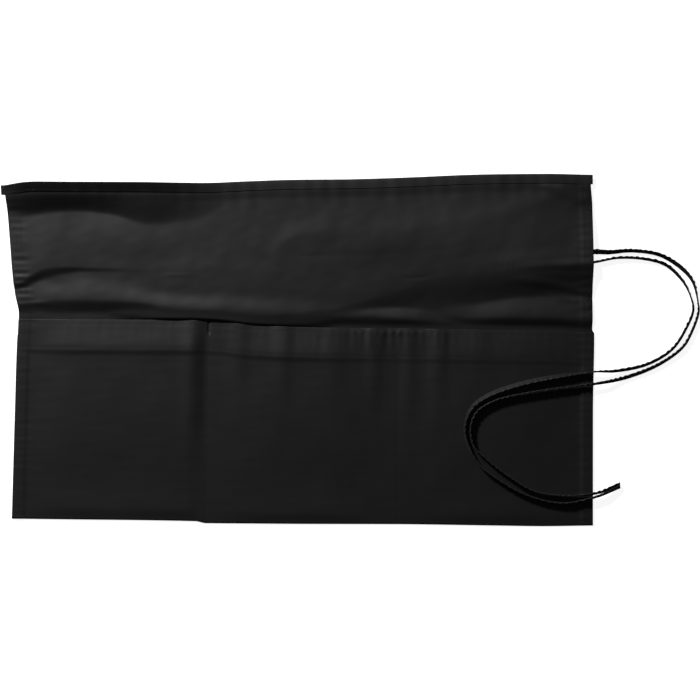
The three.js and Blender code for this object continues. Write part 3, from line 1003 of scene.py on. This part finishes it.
def front_rows():
    """The shares of the pockets' depth that the front's rows lie at."""
    fixed = [*EDGE_STEPS]
    for row in MOUTH_ROWS:
        fixed += [row + s for s in ROW_STEPS]
    fixed += [MOUTH_HEM + HEM_STEP * s for s in HEM_SHARES]
    return spread([0, *(1 - s / POCKET_DEPTH for s in reversed(fixed))], FRONT_STEP / POCKET_DEPTH)


def pocket_cloth(material):
    """The turned-up front of the pockets, from the bottom fold to the mouths."""
    bottom = bottom_y(COLUMNS)
    mouth = mouth_y(COLUMNS)
    fold = front_top(COLUMNS, bottom + BOTTOM_FOLD)
    faces, backs = [], []
    for turn in np.radians(FOLD_TURNS):
        y = bottom + BOTTOM_FOLD * (1 - math.cos(turn))
        half = fold / 2 * max(math.sin(turn), FOLD_LEAST)
        x = x_at(COLUMNS, y)
        faces.append(np.stack([x, y, fold / 2 + half], axis=1))
        backs.append(np.stack([x, y, fold / 2 - half], axis=1))
    for share in front_rows():
        y = mix(bottom + BOTTOM_FOLD, mouth, share)
        x = x_at(COLUMNS, y)
        under = front_under(COLUMNS, y)
        wall = front_wall(COLUMNS, y)
        keep = rounded(from_side(COLUMNS), wall) * rounded(mouth - y, wall / 2)
        middle = under + wall / 2
        step = GAP if share == 0 else 0
        dips = front_dips(COLUMNS, y)
        faces.append(np.stack([x, y + step, middle + wall / 2 * keep - dips], axis=1))
        drawn_in = np.minimum(dips, under - LEAST_BACK)
        backs.append(np.stack([x, y, middle - wall / 2 * keep - drawn_in], axis=1))
    piece = add_mesh("pocket_cloth", *closed_sheet(np.array(faces), np.array(backs)), material, "cloth")
    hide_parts("pocket_panel")


def band_front(across, y):
    """The height of the waistband's front at a place, which leans as the cloth in it does."""
    drop = (top_y(across) - y) * read(BAND_LEAN, "across", "lean", across)
    return cloth_under(across, top_y(across)) - drop + CLOTH + LAYER_GAP + BAND_WALL


def band_section(low, top, lean, back, front):
    """The folded tape's outline as y, z pairs at every station."""
    turn = np.radians(np.linspace(*BAND_TURNS))
    half = (front - back) / 2
    middle = (front + back) / 2
    reach = np.minimum(half, BAND_ROUND)
    points = [(low + BAND_EDGE, back)]
    points += [(mix(low, top, share), back) for share in BAND_BACK]
    points += [(top - reach + reach * math.cos(a), middle + half * math.sin(a)) for a in turn]
    points += [(mix(low, top, share), front) for share in BAND_FRONT]
    points += [(low + BAND_ROW + s, front - groove(s)) for s in reversed(ROW_STEPS)]
    points += [(low + BAND_EDGE, front - BAND_DIP)]
    inner = half - BAND_WALL
    points += [(low, middle + half - BAND_WALL * EDGE_ROUND), (low, middle + inner)]
    points += [(top - BAND_WALL, middle + inner), (top - BAND_WALL, middle - inner)]
    points += [(low, middle - inner), (low, middle - half + BAND_WALL * EDGE_ROUND)]
    return [(y, z - (top - y) * lean) for y, z in points]


def waistband(material):
    """The tape folded over the cloth's top edge."""
    left_end = -BAND_END / WIDTH
    right_end = 1 + SIDES["right"][-1] / 2
    outside = spread([left_end, 0], BAND_END_STEP)[:-1]
    stations = np.concatenate([outside, COLUMNS[:-1], [right_end]])
    inside = np.clip(stations, 0, 1)
    low, top = band_y(inside), top_y(inside)
    x = np.where(stations < 0, BAND_END / 2 - WIDTH / 2 + stations * WIDTH, x_at(stations, low))
    back = cloth_under(inside, top) - GAP - BAND_WALL
    lean = read(BAND_LEAN, "across", "lean", inside)
    section = band_section(low, top, lean, back, band_front(inside, top))
    rings = np.stack([np.stack([x, y, z], axis=1) for y, z in section], axis=1)
    piece = add_mesh("band_tape", *loft(rings), material, "tape")
    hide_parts("waistband")


# Stitches


def thread(line, thick):
    """Points and faces of small rounded stitches, spread evenly along a line."""
    length = lengths(line)
    count = int(length[-1] / STITCH_PITCH)
    middles = (np.arange(count) + 0.5) * length[-1] / count
    start, middle, end = (points_at(line, length, middles + s) for s in (-STITCH / 2, 0, STITCH / 2))
    along = end - start
    along /= np.linalg.norm(along, axis=1)[:, None]
    level = np.cross(along, (0, 0, 1))
    level /= np.maximum(np.linalg.norm(level, axis=1), TINY)[:, None]
    upward = np.cross(level, along)
    rings = []
    for share, fat in STITCH_SHAPE:
        centre = middle + along * STITCH / 2 * share
        for turn in circle(STITCH_SIDES):
            rings.append(centre + thick / 2 * fat * (level * math.cos(turn) + upward * math.sin(turn)))
    points = np.stack(rings, axis=1).reshape(-1, 3)
    at = np.arange(len(rings)).reshape(len(STITCH_SHAPE), STITCH_SIDES)
    ahead = np.roll(at, -1, axis=1)
    quads = np.stack([at[:-1], at[1:], ahead[1:], ahead[:-1]], axis=2).reshape(-1, 4)
    one = quads.tolist() + [at[0].tolist(), at[-1][::-1].tolist()]
    return points, [[i + len(rings) * k for i in face] for k in range(count) for face in one]


def joined(meshes):
    """One mesh's points and faces from several."""
    points, faces, start = [], [], 0
    for some, these in meshes:
        points.append(some)
        faces += [[i + start for i in face] for face in these]
        start += len(some)
    return np.vstack(points), faces


def row_line(across, y, top):
    """A row of stitches' line on a surface, whose height top gives."""
    across, y = np.broadcast_arrays(across, y)
    return np.stack([x_at(across, y), y, top(across, y) + THREAD * THREAD_RISE], axis=1)


def band_row(across, y):
    """The height of the stitches in the waistband."""
    return band_front(across, y) - GROOVE


def stitches(material):
    """The rows of stitches in the hems, the pockets' seams and the waistband."""
    steps = np.linspace(0, 1, ROW_POINTS)
    inset = SIDE_ROW / WIDTH
    rows = []
    for across in (inset, 1 - inset):
        y = mix(mouth_y(across) + ROW_END, band_y(across) - ROW_END, steps)
        rows.append(row_line(across, y, cloth_top))
    for across in (inset, *SEAMS["across"][1:-1], 1 - inset):
        y = mix(bottom_y(across) + BOTTOM_FOLD + ROW_END, mouth_y(across) - MOUTH_ROW_END, steps)
        rows.append(row_line(across, y, sewn_front))
    across = mix(inset / 2, 1 - inset / 2, steps)
    for row in MOUTH_ROWS:
        rows.append(row_line(across, mouth_y(across) - row, sewn_front))
    rows.append(row_line(across, band_y(across) + BAND_ROW, band_row))
    add_mesh("stitching", *joined([thread(line, THREAD) for line in rows]), material, "cloth")


# The ties


def tie_path(route):
    """A tie's middle line, its lean and the places along it, at even steps."""
    x, y, roll = spline(route, TIE_POINTS).T
    roll = np.radians(np.clip(roll, 0, MOST_ROLL))
    z = ground(x, y) + tie_height(roll) / 2
    line = np.stack([x, y, z], axis=1)
    length = lengths(line)
    places = np.linspace(0, length[-1], int(length[-1] / TIE_STEP))
    return points_at(line, length, places), np.interp(places, length, roll), places


def tape_frames(line, roll):
    """The directions across the tape and through it, at every point."""
    along = np.gradient(line, axis=0)
    along /= np.linalg.norm(along, axis=1)[:, None]
    level = np.stack([-along[:, 1], along[:, 0], np.zeros(len(line))], axis=1)
    level /= np.linalg.norm(level, axis=1)[:, None]
    up = np.cross(along, level)
    wide = level * np.cos(roll)[:, None] + up * np.sin(roll)[:, None]
    return wide, np.cross(along, wide)


def tie(name, node, route, seed, material):
    """A folded and sewn tape along its route, with puckers on its upper edge."""
    line, roll, places = tie_path(route)
    wide, through = tape_frames(line, roll)
    turn = circle(TIE_SIDES)
    across = np.sign(np.cos(turn)) * np.abs(np.cos(turn)) ** TIE_SQUARE
    thick = np.sign(np.sin(turn)) * np.abs(np.sin(turn)) ** TIE_FLAT
    wave = TIE_PUCKER * wobble(places, TIE_PUCKER_SPACING, seed)[:, None]
    pucker = wave * np.maximum(across, 0)[None] ** 2
    waist = 1 - TIE_SEAM_DEEP * np.exp(-(((across - TIE_SEAM) / TIE_SEAM_REACH) ** 2))
    out = (TIE_WALL / 2 * thick * waist)[None] + pucker
    waver = TIE_WAVER * wobble(places, TIE_WAVER_SPACING, seed + 1)[:, None]
    high = across[None] * (TIE_WIDTH / 2 + waver)
    rings = line[:, None] + high[:, :, None] * wide[:, None] + out[:, :, None] * through[:, None]
    sewn = []
    for side in (-1, 1):
        row = line + wide * TIE_SEAM * TIE_WIDTH / 2 + through * side * TIE_WALL / 2 * TIE_SEAM_OUT
        sewn.append(thread(row[TIE_ROW_ENDS:-TIE_ROW_ENDS], THREAD * TIE_THREAD))
    piece = add_mesh(name, *joined([loft(rings), *sewn]), material, "tape")
    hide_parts(node)


# Finishes


def texture(material, kind, **values):
    """A texture node fixed to the object, with its inputs' values by name."""
    nodes, links = material.node_tree.nodes, material.node_tree.links
    node = nodes.new(kind)
    for name, value in values.items():
        node.inputs[name].default_value = value
    place = nodes.new("ShaderNodeTexCoord")
    links.new(place.outputs["Object"], node.inputs["Vector"])
    return node


def blend(material, first, second, share):
    """The mix of two textures, with a share of the second."""
    links = material.node_tree.links
    node = material.node_tree.nodes.new("ShaderNodeMix")
    node.data_type = "FLOAT"
    node.inputs["Factor"].default_value = share
    links.new(first.outputs["Fac"], node.inputs["A"])
    links.new(second.outputs["Fac"], node.inputs["B"])
    return node.outputs["Result"]


def fabric(name, dark, light, weave_mm, rough, gloss, sheen):
    """Woven cloth: a weave and fine fuzz in its relief, fuzz and soft clouds in its colour."""
    material = bpy.data.materials.new(name)
    material.use_nodes = True
    nodes, links = material.node_tree.nodes, material.node_tree.links
    shader = nodes["Principled BSDF"]
    scale = WAVE_SCALE / (weave_mm * MM)
    weave = texture(material, "ShaderNodeTexWave", Scale=scale, Distortion=1.2, Detail=2)
    weave.bands_direction = "DIAGONAL"
    fuzz = texture(material, "ShaderNodeTexNoise", Scale=900, Detail=3)
    cloudy = texture(material, "ShaderNodeTexNoise", Scale=14, Detail=4)
    colour = nodes.new("ShaderNodeValToRGB")
    for stop, place, shade in zip(colour.color_ramp.elements, RAMP, (dark, light)):
        stop.position = place
        stop.color = (*shade, 1)
    links.new(blend(material, fuzz, cloudy, CLOUD_SHARE), colour.inputs["Fac"])
    links.new(colour.outputs["Color"], shader.inputs["Base Color"])
    bump = nodes.new("ShaderNodeBump")
    bump.inputs["Strength"].default_value = BUMP
    bump.inputs["Distance"].default_value = BUMP_MM * MM
    links.new(blend(material, weave, fuzz, FUZZ_SHARE), bump.inputs["Height"])
    links.new(bump.outputs["Normal"], shader.inputs["Normal"])
    shader.inputs["Roughness"].default_value = rough
    shader.inputs["Specular IOR Level"].default_value = gloss
    shader.inputs["Sheen Weight"].default_value = sheen
    shader.inputs["Sheen Roughness"].default_value = SHEEN_ROUGH
    return material


# Camera, light and floor


def camera():
    """A camera straight above, at the distance that gives the photograph's frame."""
    data = bpy.data.cameras.new("camera")
    data.lens = LENS_MM
    data.sensor_width = SENSOR_MM
    piece = bpy.data.objects.new("camera", data)
    bpy.context.scene.collection.objects.link(piece)
    distance = PIXELS * PIXEL_MM * LENS_MM / SENSOR_MM
    piece.location = (VIEW_CENTRE[0] * MM, VIEW_CENTRE[1] * MM, distance * MM)
    bpy.context.scene.camera = piece


def lamp(name, turn, high, distance, size, power):
    """A square lamp at an azimuth and a height in degrees, aimed at the middle of the floor."""
    data = bpy.data.lights.new(name, "AREA")
    data.size = size
    data.energy = power
    piece = bpy.data.objects.new(name, data)
    bpy.context.scene.collection.objects.link(piece)
    turn, high = math.radians(turn), math.radians(high)
    level = distance * math.cos(high)
    piece.location = (level * math.cos(turn), level * math.sin(turn), distance * math.sin(high))
    piece.rotation_euler = (math.pi / 2 - high, 0, turn + math.pi / 2)


def sweep():
    """A pale floor that turns up into a wall all round, whose own light doesn't reach the cloth."""
    rings = []
    turn = np.linspace(0, 2 * math.pi, SWEEP_SIDES, endpoint=False)
    for radius, high in SWEEP:
        x, y = radius * np.cos(turn), radius * np.sin(turn)
        rings.append(np.stack([x, y, np.full_like(turn, high)], axis=1))
    at = np.arange(len(SWEEP) * SWEEP_SIDES).reshape(len(SWEEP), SWEEP_SIDES)
    ahead = np.roll(at, -1, axis=1)
    faces = np.stack([at[:-1], at[1:], ahead[1:], ahead[:-1]], axis=2).reshape(-1, 4).tolist()
    faces.append(at[0].tolist())
    mesh = bpy.data.meshes.new("floor")
    mesh.from_pydata(np.vstack(rings).tolist(), [], faces)
    mesh.shade_smooth()
    floor = bpy.data.objects.new("floor", mesh)
    floor.location.z = -FLOOR_DROP
    floor.visible_diffuse = False
    floor.visible_glossy = False
    bpy.context.scene.collection.objects.link(floor)
    pale = bpy.data.materials.new("pale_floor")
    pale.use_nodes = True
    shader = pale.node_tree.nodes["Principled BSDF"]
    shader.inputs["Base Color"].default_value = (0.9, 0.9, 0.9, 1)
    shader.inputs["Roughness"].default_value = 0.9
    shader.inputs["Specular IOR Level"].default_value = 0.1
    shader.inputs["Emission Color"].default_value = (1, 1, 1, 1)
    shader.inputs["Emission Strength"].default_value = FLOOR_GLOW
    mesh.materials.append(pale)


def studio():
    """The world's faint light, the key light from the upper left and the floor."""
    scene = bpy.context.scene
    scene.view_settings.view_transform = "Standard"
    world = bpy.data.worlds.new("studio")
    world.use_nodes = True
    world.node_tree.nodes["Background"].inputs["Color"].default_value = (1, 1, 1, 1)
    world.node_tree.nodes["Background"].inputs["Strength"].default_value = WORLD_GLOW
    scene.world = world
    lamp("key", turn=125, high=36, distance=2.2, size=0.3, power=42)
    sweep()


camera()
tape = fabric(
    "black_tape",
    dark=(0.007, 0.007, 0.0075),
    light=(0.012, 0.012, 0.0125),
    weave_mm=0.6,
    rough=0.58,
    gloss=0.5,
    sheen=0.03,
)
twill = fabric(
    "black_twill",
    dark=(0.0062, 0.0062, 0.0066),
    light=(0.0098, 0.0098, 0.0103),
    weave_mm=0.7,
    rough=0.52,
    gloss=0.5,
    sheen=0.02,
)
# The thread's colours are lighter than the cloth's: a painted highlight standing for the sheen that the
# stitches catch.
yarn = fabric(
    "black_thread",
    dark=(0.009, 0.009, 0.0095),
    light=(0.014, 0.014, 0.0145),
    weave_mm=0.3,
    rough=0.45,
    gloss=0.5,
    sheen=0.02,
)
tie("tie_tape_left", "tie_left", LEFT_TIE, seed=61, material=tape)
tie("tie_tape_right", "tie_right", RIGHT_TIE, seed=63, material=tape)
body_cloth(twill)
pocket_cloth(twill)
waistband(tape)
stitches(yarn)
studio()
